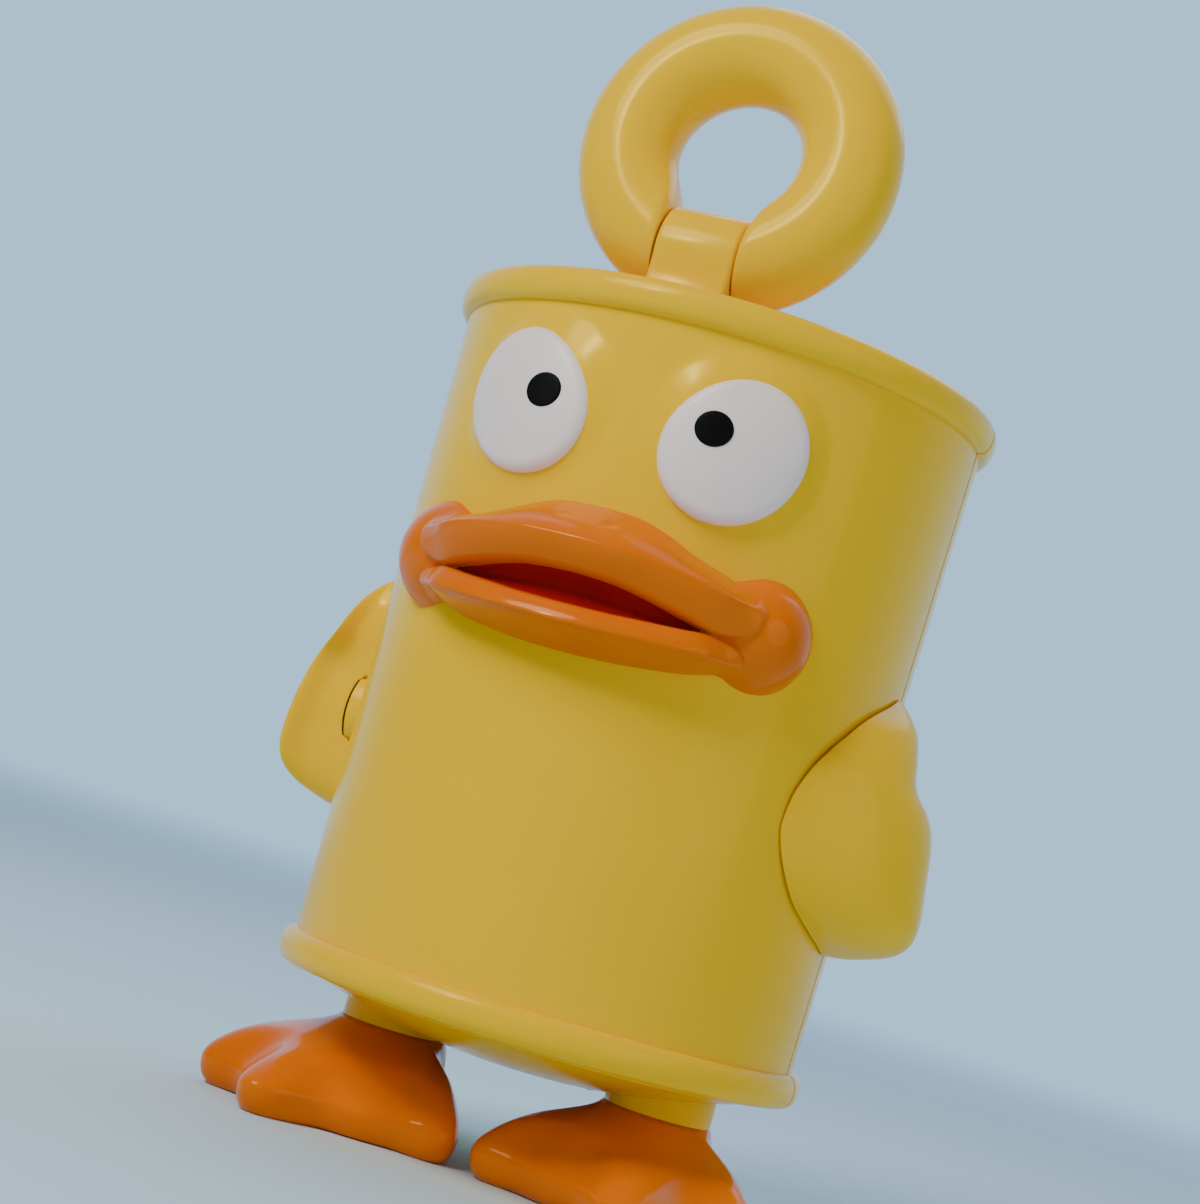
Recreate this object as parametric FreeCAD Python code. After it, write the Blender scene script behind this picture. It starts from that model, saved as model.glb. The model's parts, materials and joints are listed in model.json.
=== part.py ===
import FreeCAD, Part
import math
import os

from FreeCAD import Matrix, Vector

# A floating chlorine dispenser in the form of a duck in a can, in millimetres.
# The origin is on the can's axis at the floor under the soles.
# +Z is up, the face looks along -Y, and +X is the duck's left.

# Overall sizes
can_radius = 55.0           # outside radius of the wall at mid height
can_taper = 3.0             # how much wider the wall is at the top than at the bottom
wall_height = 133.0         # between the two rolled rims
leg_gap = 29.0              # floor to the underside of the can
shell_wall = 2.2

# Rolled rims and lid
rim_height = 7.0
rim_proud = 2.5
lid_recess = 2.5            # rim top down to the lid
rim_land = 3.5              # flat land inside the top rim
seam_gap = 0.2              # between the front and the back shell
lip_thickness = 1.2         # locating lip of the back shell
lip_reach = 3.0
lip_gap = 0.1

# Tablet chamber
chamber_bore = 85.0
chamber_wall = 2.0
collar_wall = 4.0           # thicker lower end that takes the bayonet
collar_height = 18.0
chamber_headroom = 5.3      # under the lid
glue_gap = 0.1

# Base cap
cap_gap = 0.4               # spigot to chamber bore
spigot_wall = 2.7
spigot_height = 16.0
flange_radius = 48.0
flange_edge = 0.8
flange_gap = 0.1
dome_depth = 7.6
cap_floor = 2.3
lug_count = 3
lug_half_angle = 6.0
lug_height = 4.0
lug_proud = 1.8
lug_gap = 0.4
lug_lift = 3.0              # can underside up to the lugs
cap_turn = 30.0             # bayonet travel in degrees
seal_section = 0.85         # radius of the cap seal's section
seal_lift = 13.0            # can underside up to the seal

# Legs and feet
leg_radius = 11.2
leg_offset = 30.0           # can axis to a leg's axis
foot_height = 20.6
leg_spigot_radius = 8.0
leg_spigot_length = 8.0
foot_fit = 0.05
toe_angles = (51.0, 12.0, -45.0)        # outward from straight ahead
toe_reaches = (39.0, 45.0, 37.0)
toe_spread = 21.0           # half width of a toe lobe, in degrees about the ankle
web_reach = 34.0            # ankle to the web's edge between the toes
web_middle = 3.0            # the web's middle and half width, in degrees about the ankle
web_spread = 66.0
toe_tip_height = 7.0
heel_reach = 13.5

# Flow dial under the cap
dial_recess_radius = 17.6
dial_gap = 0.4
dial_thickness = 2.4
dial_grip_height = 1.8
window_count = 4
window_half_angle = 20.0
window_inner = 6.5
window_outer = 14.5
dial_pivot_radius = 2.0
dial_head_radius = 4.0

# Tablet basket
tablet_radius = 38.1
tablet_room = 1.9
basket_wall = 1.6
basket_height = 83.0
basket_floor = 2.0
basket_skirt = 3.0
basket_gap = 0.2
slot_width = 3.4
slot_count = 16

# Carry ring on the lid
ring_radius = 23.1          # axis of the ring's tube
ring_tube = 10.3
ring_rise = 10.4            # can top up to the pin
ring_back = 37.0            # can axis forward to the pin
ring_lean = 4.9             # rest lean towards the back, in degrees
bracket_half_width = 8.25
bracket_cap_radius = 10.0
bracket_foot = 12.0         # half depth of its foot on the lid
ring_side_gap = 0.5
pin_radius = 2.5
pin_length = 32.0

# Face
eye_angle = 22.3
eye_height = 147.6
eye_radius = 14.3
eye_proud = 3.4
eye_sphere = 40.0
eye_mound = 2.6             # how much wider the mound is than the eye
eye_mound_proud = 1.6
pupil_angle = 17.0
pupil_height = 149.8
pupil_radius = 3.5
pupil_thickness = 0.5
bill_height = 115.5         # the mouth's middle
lip_half_width = 32.0
stud_angle = 34.0           # of the bill's studs
lip_centre = can_radius - 6.0   # can axis forward to the middle of the lips
upper_lip = (32.0, 19.0, 8.2)
upper_lip_rise = 7.4
lower_lip = (31.0, 16.5, 6.0)
lower_lip_drop = 7.6
mouth_size = (27.0, 20.0, 3.6)
mouth_floor = 4.0           # mouth lining's face, proud of the wall
cheek_angle = 38.5
cheek_radius = 10.2
cheek_proud = 5.5

# Wings
wing_pivot_height = 82.8
wing_gap = 0.5
wing_swing = 5.5            # degrees each way that the inner face is cut clear for
boss_radius = 9.0
boss_apex = can_radius + 6.0    # can axis to the top of the shoulder boss
boss_sphere = 18.0
boss_gap = 0.4
axle_radius = 2.5
axle_inner_end = can_radius - 8.8
axle_outer_end = can_radius + 10.5

# Hardware
running_fit = 0.05
screw_radius = 1.5
screw_head_radius = 2.8
screw_head_height = 2.0
nut_radius = 4.5
nut_thickness = 1.0
stem_radius = 2.0
screw_offset = can_radius - 7.0 # can axis sideways to the shell screws
screw_heights = (56.0, 152.0)
boss_wall_radius = 3.0
boss_cup_radius = 4.6       # round the screw head in the back shell
screw_seat = 16.0           # seam back to the underside of a shell screw's head

# Heights worked out from the sizes above
crease_low = leg_gap + rim_height
crease_high = crease_low + wall_height
can_top = crease_high + rim_height
lid_top = can_top - lid_recess
lid_under = lid_top - shell_wall
chamber_radius = chamber_bore / 2
chamber_outside = chamber_radius + chamber_wall
collar_outside = chamber_radius + collar_wall
chamber_top = lid_under - chamber_headroom
spigot_radius = chamber_radius - cap_gap
spigot_bore = spigot_radius - spigot_wall
spigot_top = leg_gap + spigot_height
dome_bottom = leg_gap - flange_gap - flange_edge - dome_depth
recess_top = dome_bottom + dial_grip_height + dial_thickness + 2 * dial_gap
cap_floor_top = recess_top + cap_floor
pin_height = can_top + ring_rise


def wall_radius(z):
    """Outside radius of the can's wall at a height."""
    share = (z - crease_low) / wall_height
    return can_radius + can_taper * (share - 0.5)


def on_wall(angle, z, proud=0.0):
    """Point on the wall, at an angle from straight ahead, positive to +X."""
    reach = wall_radius(z) + proud
    turn = math.radians(angle)
    return Vector(reach * math.sin(turn), -reach * math.cos(turn), z)


def outward(angle):
    turn = math.radians(angle)
    return Vector(math.sin(turn), -math.cos(turn), 0)


def cylinder(radius, start, end):
    way = end - start
    return Part.makeCylinder(radius, way.Length, start, way)


def tube(outer, inner, low, high):
    return cylinder(outer, Vector(0, 0, low), Vector(0, 0, high)).cut(
        cylinder(inner, Vector(0, 0, low - 1), Vector(0, 0, high + 1)))


def box(low, high):
    size = high - low
    return Part.makeBox(size.x, size.y, size.z, low)


def ellipsoid(centre, axes):
    scale = Matrix()
    scale.scale(axes[0], axes[1], axes[2])
    shape = Part.makeSphere(1.0).transformGeometry(scale)
    shape.translate(centre)
    return shape


def sector(inner, outer, low, high, middle, half_angle):
    """Ring sector about the Z axis, centred on an angle from +X."""
    points = [Vector(inner, 0, low), Vector(outer, 0, low), Vector(outer, 0, high), Vector(inner, 0, high)]
    face = Part.Face(Part.makePolygon(points + points[:1]))
    face.rotate(Vector(), Vector(0, 0, 1), middle - half_angle)
    return face.revolve(Vector(), Vector(0, 0, 1), 2 * half_angle)


def revolved(edges, turn=360.0, start=0.0):
    face = Part.Face(Part.Wire(edges))
    face.rotate(Vector(), Vector(0, 0, 1), start)
    return face.revolve(Vector(), Vector(0, 0, 1), turn)


def line(a, b):
    return Part.makeLine(Vector(a[0], 0, a[1]), Vector(b[0], 0, b[1]))


def arc(a, through, b):
    return Part.Arc(Vector(a[0], 0, a[1]), Vector(through[0], 0, through[1]), Vector(b[0], 0, b[1])).toShape()


def mirrored(shape):
    return shape.mirror(Vector(), Vector(1, 0, 0))


def joined(shapes):
    return shapes[0].fuse(shapes[1:]).removeSplitter()


def can_outline(turn, start):
    """Solid can with both rolled rims, over an angle."""
    low = wall_radius(crease_low)
    high = wall_radius(crease_high)
    low_mid = leg_gap + rim_height / 2
    high_mid = crease_high + rim_height / 2
    return revolved([
        line((0, leg_gap), (low, leg_gap)),
        arc((low, leg_gap), (low + rim_proud, low_mid), (low, crease_low)),
        line((low, crease_low), (high, crease_high)),
        arc((high, crease_high), (high + rim_proud, high_mid), (high, can_top)),
        line((high, can_top), (high - rim_land, can_top)),
        line((high - rim_land, can_top), (high - rim_land - 0.5, lid_top)),
        line((high - rim_land - 0.5, lid_top), (0, lid_top)),
        line((0, lid_top), (0, leg_gap))], turn, start)


def can_inside(shrink=0.0):
    """The space inside the shells, drawn in by shrink."""
    low = leg_gap + shell_wall
    low_radius = wall_radius(low) - shell_wall - shrink
    high_radius = wall_radius(lid_under) - shell_wall - shrink
    return revolved([
        line((0, low), (low_radius, low)),
        line((low_radius, low), (high_radius, lid_under)),
        line((high_radius, lid_under), (0, lid_under)),
        line((0, lid_under), (0, low))])


def front_half(grow=0.0):
    reach = 2 * can_radius
    return box(Vector(-reach, -reach, -reach), Vector(reach, grow, 2 * can_top))


def eye_direction(side):
    return outward(side * eye_angle)


def eye_point(side, proud):
    return on_wall(side * eye_angle, eye_height, proud)


def eye_dome(side, radius, proud, sphere):
    """Low dome that stands on the wall along the eye's direction."""
    way = eye_direction(side)
    bar = cylinder(radius, eye_point(side, -20), eye_point(side, 20))
    centre = eye_point(side, proud) - way * sphere
    return bar.common(Part.makeSphere(sphere, centre))


def stem_places():
    """Start, direction and wall height of the stems that hold the eyes and the bill."""
    eyes = [(eye_direction(side), eye_height, eye_angle * side) for side in (-1, 1)]
    bills = [(outward(side * stud_angle), bill_height, side * stud_angle) for side in (-1, 1)]
    return eyes + bills


def screw_places():
    return [(side * screw_offset, z) for side in (-1, 1) for z in screw_heights]


def shoulder_boss():
    bar = cylinder(boss_radius, Vector(screw_offset, 0, wing_pivot_height),
                   Vector(boss_apex + 2, 0, wing_pivot_height))
    ball = Part.makeSphere(boss_sphere, Vector(boss_apex - boss_sphere, 0, wing_pivot_height))
    return bar.common(ball)


def both_sides(shape):
    return [shape, mirrored(shape)]


def raw_shell():
    """Both shells as one, with the shoulder bosses and their bores."""
    boss = shoulder_boss()
    bore = cylinder(axle_radius + running_fit, Vector(axle_inner_end - 1, 0, wing_pivot_height),
                    Vector(boss_apex + 5, 0, wing_pivot_height))
    seat = cylinder(4.6, Vector(boss_apex - 2.4, 0, wing_pivot_height),
                    Vector(boss_apex + 5, 0, wing_pivot_height))
    neck = cylinder(collar_outside + glue_gap, Vector(0, 0, leg_gap - 1),
                    Vector(0, 0, leg_gap + shell_wall + 1))
    shell = can_outline(360, 0).cut(can_inside())
    shell = shell.fuse(both_sides(boss.cut(can_inside())))
    return shell.cut(both_sides(bore) + both_sides(seat) + [neck])


def front_shell(shell):
    """Front half with eye mounds, screw bosses and the holes for the face's stems."""
    half = shell.common(front_half(-seam_gap / 2))
    mounds = [eye_dome(side, eye_radius + eye_mound, eye_mound_proud, eye_sphere * 1.4) for side in (-1, 1)]
    half = half.fuse([mound.cut(can_inside(-shell_wall / 2)) for mound in mounds])
    bosses = []
    holes = []
    for x, z in screw_places():
        bosses.append(cylinder(boss_wall_radius, Vector(x, -can_radius, z), Vector(x, -seam_gap / 2, z)))
        holes.append(cylinder(screw_radius + running_fit, Vector(x, -12.5, z), Vector(x, 1, z)))
    bosses = [boss.common(can_inside(-shell_wall / 2)) for boss in bosses]
    for side in (-1, 1):
        seat = eye_dome(side, eye_radius + 0.1, eye_proud + 5, eye_sphere)
        holes.append(seat.cut(can_inside(-shell_wall - 0.4)))
    for way, z, angle in stem_places():
        start = on_wall(angle, z, -10)
        holes.append(cylinder(stem_radius + 0.1, start, start + way * 20))
    for y in (-ring_back - 5.5, -ring_back + 5.5):
        holes.append(cylinder(screw_radius + 0.2, Vector(0, y, lid_under - 1), Vector(0, y, lid_top + 1)))
    return half.fuse(bosses).cut(holes)


def back_shell(shell):
    """Back half with its locating lip and the counterbored screw bosses."""
    half = shell.cut(front_half(seam_gap / 2))
    lip_low = crease_low + 4
    lip_high = crease_high - 4
    lip = can_inside(lip_gap).cut(can_inside(lip_gap + lip_thickness))
    reach = 2 * can_radius
    lip = lip.common(box(Vector(-reach, -lip_reach, lip_low), Vector(reach, lip_reach, lip_high)))
    root = can_inside(-0.3).cut(can_inside(lip_gap + lip_thickness))
    root = root.common(box(Vector(-reach, seam_gap / 2, lip_low), Vector(reach, lip_reach, lip_high)))
    clear = cylinder(boss_radius, Vector(-reach, 0, wing_pivot_height), Vector(reach, 0, wing_pivot_height))
    clear_posts = [cylinder(boss_wall_radius + 0.3, Vector(x, -can_radius, z), Vector(x, 0, z))
                   for x, z in screw_places()]
    lip = lip.fuse(root).cut([clear] + clear_posts)
    bosses = []
    holes = []
    for x, z in screw_places():
        bosses.append(cylinder(boss_wall_radius, Vector(x, seam_gap / 2, z), Vector(x, screw_seat, z)))
        bosses.append(cylinder(boss_cup_radius, Vector(x, screw_seat - 2.5, z), Vector(x, can_radius, z)))
        holes.append(cylinder(screw_radius + 0.2, Vector(x, -1, z), Vector(x, can_radius, z)))
        holes.append(cylinder(screw_head_radius + 0.3, Vector(x, screw_seat, z), Vector(x, can_radius, z)))
    bosses = [boss.common(can_outline(360, 0)) for boss in bosses]
    return half.fuse([lip] + bosses).cut(holes)


def tablet_chamber():
    """Closed-top tube with a bayonet collar; the space round it is the float."""
    body = cylinder(chamber_outside, Vector(0, 0, leg_gap), Vector(0, 0, chamber_top))
    collar = cylinder(collar_outside, Vector(0, 0, leg_gap), Vector(0, 0, leg_gap + collar_height))
    hollow = cylinder(chamber_radius, Vector(0, 0, leg_gap - 1), Vector(0, 0, chamber_top - chamber_wall))
    cuts = [hollow]
    low = leg_gap + lug_lift - lug_gap
    high = leg_gap + lug_lift + lug_height + lug_gap
    deep = spigot_radius + lug_proud + lug_gap
    swing = lug_half_angle + 1
    for number in range(lug_count):
        middle = 90 + number * 360 / lug_count
        cuts.append(sector(spigot_radius - 2, deep, low, high, middle + cap_turn / 2, swing + cap_turn / 2))
        cuts.append(sector(spigot_radius - 2, deep, leg_gap - 1, high, middle + cap_turn, swing))
    return body.fuse(collar).cut(cuts)


def ballast_ring():
    low = leg_gap + shell_wall + glue_gap
    outer = wall_radius(low) - shell_wall - 0.4
    return tube(outer, collar_outside + 0.4, low, low + 5.0)


def screw(seat, way, length, head_radius=screw_head_radius, head_height=screw_head_height):
    """Pan head screw: the head's underside is at seat and the shank runs along way."""
    head = cylinder(head_radius, seat - way * head_height, seat)
    drive = cylinder(head_radius * 0.35, seat - way * head_height, seat - way * head_height * 0.5)
    shank = cylinder(screw_radius, seat - way * 0.2, seat + way * length)
    return head.fuse(shank).cut(drive)


def shell_screws():
    return Part.makeCompound([screw(Vector(x, screw_seat, z), Vector(0, -1, 0), screw_seat + 11.0)
                              for x, z in screw_places()])


def eye(side):
    """White dome with a stem through the shell."""
    dome = eye_dome(side, eye_radius, eye_proud, eye_sphere)
    dome = dome.cut(can_inside(-shell_wall - 0.45))
    start = eye_point(side, -shell_wall - nut_thickness - 1.6)
    stem = cylinder(stem_radius, start, eye_point(side, 1))
    return dome.fuse(stem)


def pupil(side):
    """Thin black disc let on to the front of the eye."""
    way = eye_direction(side)
    middle = on_wall(side * pupil_angle, pupil_height, 0)
    centre = eye_point(side, eye_proud) - way * eye_sphere
    bar = cylinder(pupil_radius, middle - way * 1, middle + way * 12)
    plate = Part.makeSphere(eye_sphere + pupil_thickness, centre).cut(Part.makeSphere(eye_sphere, centre))
    return bar.common(plate)


def lip_solids():
    upper = ellipsoid(Vector(0, -lip_centre, bill_height + upper_lip_rise), upper_lip)
    lower = ellipsoid(Vector(0, -lip_centre, bill_height - lower_lip_drop), lower_lip)
    return [upper, lower]


def mouth_space():
    return ellipsoid(Vector(0, -lip_centre, bill_height + 0.4), mouth_size)


def cheek(side):
    centre = on_wall(side * cheek_angle, bill_height + 0.5, cheek_proud - cheek_radius)
    return Part.makeSphere(cheek_radius, centre)


def mouth_seat():
    """What lies behind the face of the mouth lining."""
    seat = can_outline(360, 0)
    seat = seat.fuse(tube(can_radius + mouth_floor, can_radius - 10, bill_height - 12, bill_height + 12))
    return seat


def bill():
    """Both lips and the cheek lobes, with studs through the shell."""
    core = ellipsoid(Vector(0, -lip_centre, bill_height), (lip_half_width - 2, 12.0, 9.0))
    shape = joined(lip_solids() + [core, cheek(-1), cheek(1)])
    shape = shape.cut([can_outline(360, 0), mouth_space()])
    studs = []
    for side in (-1, 1):
        start = on_wall(side * stud_angle, bill_height, -shell_wall - nut_thickness - 1.6)
        studs.append(cylinder(stem_radius, start, start + outward(side * stud_angle) * 6.5))
    return shape.fuse(studs)


def mouth_liner():
    """Dark lining at the back of the mouth slot."""
    plug = mouth_space().common(mouth_seat())
    return plug.cut(can_outline(360, 0))


def push_nuts():
    """Push nuts on the eye and bill stems, inside the front shell."""
    nuts = []
    for way, z, angle in stem_places():
        start = on_wall(angle, z, -shell_wall - nut_thickness - 1.2)
        nut = cylinder(nut_radius, start, start + way * nut_thickness)
        hole = cylinder(stem_radius, start - way, start + way * 3)
        nuts.append(nut.cut(hole))
    return Part.makeCompound(nuts)


def ring_bracket():
    """Block with a rounded top that carries the ring's pin, bolted to the lid."""
    half = bracket_half_width
    top = cylinder(bracket_cap_radius, Vector(-half, -ring_back, pin_height),
                   Vector(half, -ring_back, pin_height))
    neck = bracket_cap_radius - 0.6
    outline = [Vector(-half, -ring_back - neck, pin_height), Vector(-half, -ring_back - neck, lid_top + 4),
               Vector(-half, -ring_back - bracket_foot, lid_top), Vector(-half, -ring_back + bracket_foot, lid_top),
               Vector(-half, -ring_back + neck, lid_top + 4), Vector(-half, -ring_back + neck, pin_height)]
    post = Part.Face(Part.makePolygon(outline + outline[:1])).extrude(Vector(2 * half, 0, 0))
    cuts = [cylinder(pin_radius + running_fit, Vector(-half - 1, -ring_back, pin_height),
                     Vector(half + 1, -ring_back, pin_height))]
    for y in (-ring_back - 5.5, -ring_back + 5.5):
        cuts.append(cylinder(screw_radius + running_fit, Vector(0, y, lid_top - 1),
                             Vector(0, y, lid_top + 6.2)))
    return top.fuse(post).removeSplitter().cut(cuts)


def bracket_screws():
    return Part.makeCompound([screw(Vector(0, y, lid_under), Vector(0, 0, 1), shell_wall + 5.8)
                              for y in (-ring_back - 5.5, -ring_back + 5.5)])


def leaned(shape):
    shape = shape.copy()
    shape.rotate(Vector(0, -ring_back, pin_height), Vector(1, 0, 0), -ring_lean)
    return shape


def carry_ring():
    """Thick ring, open at the bottom for the bracket."""
    centre = Vector(0, -ring_back, pin_height + ring_radius)
    shape = Part.makeTorus(ring_radius, ring_tube, centre, Vector(0, 1, 0))
    side = bracket_half_width + ring_side_gap
    gap = box(Vector(-side, -ring_back - 20, pin_height - 20),
              Vector(side, -ring_back + 20, pin_height + ring_radius))
    bore = cylinder(pin_radius + 0.02, Vector(-pin_length / 2, -ring_back, pin_height),
                    Vector(pin_length / 2, -ring_back, pin_height))
    return leaned(shape.cut([gap, bore]))


def ring_pin():
    return cylinder(pin_radius, Vector(-pin_length / 2 + 0.1, -ring_back, pin_height),
                    Vector(pin_length / 2 - 0.1, -ring_back, pin_height))


def wing_section(z, front_angle, proud, middle_y, back_y):
    """Closed outline of the left wing at a height: front edge, crown, trailing edge, inner face."""
    front = on_wall(front_angle, z, wing_gap + 0.3)
    reach = can_radius + proud
    inner = wall_radius(z) + wing_gap + 0.5
    crown = Vector(reach, middle_y, z)
    shoulder = Vector((front.x + crown.x) / 2 + 0.16 * (crown.x - front.x),
                      (front.y + crown.y) / 2 - 0.10 * (crown.y - front.y), z)
    tail = Vector(reach - 4.5, back_y, z)
    back = Vector(reach - 9.0, back_y - 1.5, z)
    middle_angle = math.radians(front_angle * 0.45 + 90 * 0.55)
    hollow = Vector(inner * math.sin(middle_angle), -inner * math.cos(middle_angle), z)
    root = Vector(max(inner, min(reach - 12, inner + 2.5)), min(back_y - 6, 4), z)
    curve = Part.BSplineCurve()
    curve.interpolate([front, shoulder, crown, tail, back, root, hollow], PeriodicFlag=True)
    return Part.Wire(curve.toShape())


def wing():
    """Left wing: a lofted pillow, hollowed for the shoulder boss and for the can as the wing swings."""
    levels = [
        (62.0, 80.0, 12.5, -1.0, 8.0),
        (64.5, 71.0, 15.0, -2.0, 13.0),
        (70.0, 62.5, 17.0, -6.0, 15.5),
        (80.0, 56.5, 16.0, -8.0, 14.5),
        (91.0, 56.5, 13.6, -8.0, 13.5),
        (98.0, 60.0, 9.9, -8.5, 9.5),
        (105.0, 66.5, 8.6, -6.5, 9.5),
        (114.0, 79.0, 6.8, -3.0, 5.5)]
    shape = Part.makeLoft([wing_section(*level) for level in levels], True)
    clear = cylinder(boss_radius + boss_gap, Vector(0, 0, wing_pivot_height),
                     Vector(boss_apex + 2, 0, wing_pivot_height))
    clear = clear.common(Part.makeSphere(boss_sphere + boss_gap,
                                         Vector(boss_apex - boss_sphere, 0, wing_pivot_height)))
    body = revolved([
        line((0, leg_gap), (wall_radius(leg_gap) + wing_gap, leg_gap)),
        line((wall_radius(leg_gap) + wing_gap, leg_gap), (wall_radius(can_top) + wing_gap, can_top)),
        line((wall_radius(can_top) + wing_gap, can_top), (0, can_top)),
        line((0, can_top), (0, leg_gap))])
    bore = cylinder(axle_radius + 0.02, Vector(0, 0, wing_pivot_height),
                    Vector(axle_outer_end, 0, wing_pivot_height))
    shape = shape.cut([clear, body, bore])
    for turn in (-wing_swing, wing_swing):
        turned = body.copy()
        turned.rotate(Vector(0, 0, wing_pivot_height), Vector(1, 0, 0), turn)
        shape = shape.cut(turned)
    return shape


def wing_axle():
    return cylinder(axle_radius, Vector(axle_inner_end, 0, wing_pivot_height),
                    Vector(axle_outer_end - 0.1, 0, wing_pivot_height))


def wing_clip():
    """Retaining clip on the axle's inner end, inside the float space."""
    start = Vector(axle_inner_end + 0.5, 0, wing_pivot_height)
    end = start + Vector(1.0, 0, 0)
    hole = cylinder(axle_radius + 0.02, start - Vector(1, 0, 0), end + Vector(1, 0, 0))
    return cylinder(4.6, start, end).cut(hole)


def wing_seal():
    """Small ring seal round the axle, in the shoulder boss."""
    return Part.makeTorus(3.5, 0.8, Vector(boss_apex - 1.3, 0, wing_pivot_height), Vector(1, 0, 0))


def windows(low, high, spread=0.0):
    """Cutters for the water windows, shared by the cap and the dial."""
    cutters = []
    for number in range(window_count):
        middle = (number + 0.5) * 360 / window_count
        cutters.append(sector(window_inner, window_outer, low, high, middle, window_half_angle + spread))
    return cutters


def base_cap():
    """Bayonet cap: dome, spigot with lugs and seal groove, and the two legs."""
    edge = leg_gap - flange_gap - flange_edge
    sphere = (flange_radius ** 2 + dome_depth ** 2) / (2 * dome_depth)
    half = flange_radius / 2
    sag = edge - dome_depth + sphere - math.sqrt(sphere ** 2 - half ** 2)
    plate = revolved([
        arc((0, dome_bottom), (half, sag), (flange_radius, edge)),
        line((flange_radius, edge), (flange_radius, leg_gap - flange_gap)),
        line((flange_radius, leg_gap - flange_gap), (0, leg_gap - flange_gap)),
        line((0, leg_gap - flange_gap), (0, dome_bottom))])
    spigot = cylinder(spigot_radius, Vector(0, 0, leg_gap - 0.5), Vector(0, 0, spigot_top))
    lugs = [sector(spigot_radius - 1, spigot_radius + lug_proud, leg_gap + lug_lift,
                   leg_gap + lug_lift + lug_height, 90 + number * 360 / lug_count, lug_half_angle)
            for number in range(lug_count)]
    legs = []
    for side in (-1, 1):
        x = side * leg_offset
        legs.append(cylinder(leg_radius, Vector(x, 0, foot_height), Vector(x, 0, leg_gap - 1.0)))
        legs.append(cylinder(leg_spigot_radius, Vector(x, 0, foot_height - leg_spigot_length),
                             Vector(x, 0, leg_gap - 1.0)))
    cuts = [cylinder(spigot_bore, Vector(0, 0, cap_floor_top), Vector(0, 0, spigot_top + 1)),
            cylinder(dial_recess_radius, Vector(0, 0, 0), Vector(0, 0, recess_top)),
            cylinder(dial_pivot_radius + 0.02, Vector(0, 0, 0), Vector(0, 0, cap_floor_top + 1)),
            tube(spigot_radius + 1, spigot_radius - 2 * seal_section + 0.1, leg_gap + seal_lift - 1.0,
                 leg_gap + seal_lift + 1.0)]
    for side in (-1, 1):
        x = side * leg_offset
        cuts.append(cylinder(screw_radius + running_fit, Vector(x, 0, foot_height - leg_spigot_length - 1),
                             Vector(x, 0, foot_height + 1)))
    cuts += windows(recess_top - 1, cap_floor_top + 1)
    return plate.fuse([spigot] + lugs + legs).cut(cuts)


def cap_seal():
    return Part.makeTorus(spigot_radius + 0.2 - seal_section, seal_section, Vector(0, 0, leg_gap + seal_lift))


def flow_dial():
    """Slotted dial with two finger grips, flush in the underside of the dome."""
    low = dome_bottom + dial_grip_height + dial_gap
    high = low + dial_thickness
    plate = cylinder(dial_recess_radius - dial_gap, Vector(0, 0, low), Vector(0, 0, high))
    grips = []
    for side in (-1, 1):
        inner = dial_head_radius + 1.2
        outer = dial_recess_radius - 2.0
        ends = sorted((side * inner, side * outer))
        grips.append(box(Vector(ends[0], -1.4, dome_bottom + dial_gap), Vector(ends[1], 1.4, low + 0.5)))
    bore = cylinder(dial_pivot_radius + running_fit, Vector(0, 0, 0), Vector(0, 0, high + 1))
    return plate.fuse(grips).cut([bore] + windows(low - 1, high + 1))


def dial_pivot():
    """Shoulder screw that holds the dial in the cap."""
    seat = dome_bottom + dial_grip_height + dial_gap - 0.1
    head = cylinder(dial_head_radius, Vector(0, 0, dome_bottom + dial_gap), Vector(0, 0, seat))
    drive = cylinder(1.4, Vector(0, 0, dome_bottom), Vector(0, 0, dome_bottom + 1.3))
    shank = cylinder(dial_pivot_radius, Vector(0, 0, seat - 0.2), Vector(0, 0, cap_floor_top + 1.5))
    return head.fuse(shank).cut(drive)


def tablet_basket():
    """Slotted cup for the tablets, on the cap's spigot."""
    inner = tablet_radius + tablet_room
    outer = inner + basket_wall
    low = spigot_top + basket_gap
    body = cylinder(outer, Vector(0, 0, low), Vector(0, 0, low + basket_height))
    hollow = cylinder(inner, Vector(0, 0, low + basket_floor), Vector(0, 0, low + basket_height + 1))
    skirt = tube(spigot_bore - basket_gap, spigot_bore - basket_gap - basket_wall, low - basket_skirt, low + 0.5)
    cuts = [hollow]
    for number in range(slot_count):
        turn = number * 360 / slot_count
        slot = box(Vector(inner - 1, -slot_width / 2, low + 8), Vector(outer + 1, slot_width / 2, low + 68))
        slot.rotate(Vector(), Vector(0, 0, 1), turn)
        cuts.append(slot)
    rows = 6
    pitch = 2 * (inner - 6) / rows
    for number in range(rows):
        y = -inner + 6 + pitch * (number + 0.5)
        half = math.sqrt((inner - 5) ** 2 - y ** 2)
        cuts.append(box(Vector(-half, y - slot_width / 2, low - 1), Vector(half, y + slot_width / 2, low + 4)))
    ribs = [box(Vector(x - 1.5, -inner + 3, low), Vector(x + 1.5, inner - 3, low + basket_floor))
            for x in (-14, 14)]
    return body.fuse(skirt).cut(cuts).fuse(ribs).removeSplitter()


def foot_reach(angle):
    """Distance from the ankle to the foot's edge, at an angle outward from straight ahead."""
    lobes = []
    for toe_angle, reach in zip(toe_angles, toe_reaches):
        lobes.append((reach - heel_reach) * math.exp(-((angle - toe_angle) / toe_spread) ** 2))
    lobes.append((web_reach - heel_reach) * math.exp(-((angle - web_middle) / web_spread) ** 6))
    blend = sum(lobe ** 6 for lobe in lobes) ** (1 / 6)
    return heel_reach + blend


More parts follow.
